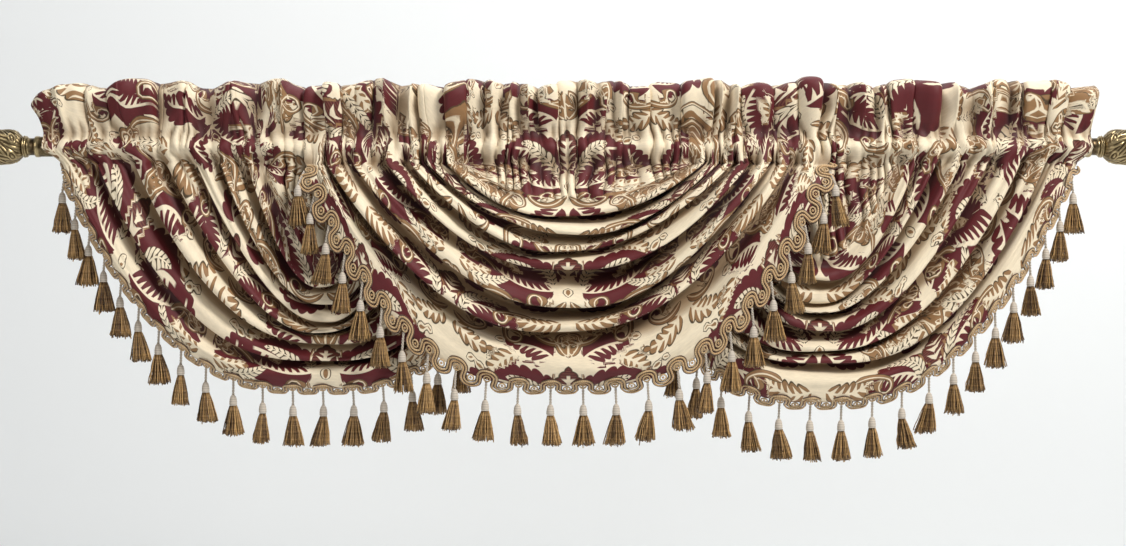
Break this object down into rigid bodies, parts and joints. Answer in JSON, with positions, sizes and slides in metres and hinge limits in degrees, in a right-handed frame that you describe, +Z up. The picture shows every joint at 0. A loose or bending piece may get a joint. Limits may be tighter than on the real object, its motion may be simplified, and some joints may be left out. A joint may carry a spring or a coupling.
{
  "type": "swag valance set on a curtain rod",
  "caption": "Overlapping gathered swag valances with braid and tassel hems, shirred by a ruffled rod pocket onto a round rod with carved end finials.",
  "frame": {"origin": "middle of the rod's axis", "axes": "+X along the rod to the right as seen from the room, -Y towards the room, +Z up"},
  "size_m": [1.6242, 0.1051, 0.5144],
  "materials": {
    "damask_cloth": "woven floral damask in cream, burgundy and taupe",
    "braid_and_tassels": "gold-brown rayon tassels on a scroll gimp braid",
    "aged_bronze": "dark aged bronze with worn light edges"
  },
  "bodies": {
    "root": {"rod": "aged_bronze", "collar_left": "aged_bronze", "collar_right": "aged_bronze", "finial_left": "aged_bronze", "finial_right": "aged_bronze", "heading": "damask_cloth", "swag_left": "damask_cloth", "swag_centre": "damask_cloth", "swag_right": "damask_cloth", "fringe_left": "braid_and_tassels", "fringe_centre": "braid_and_tassels", "fringe_right": "braid_and_tassels"}
  },
  "joints": []
}
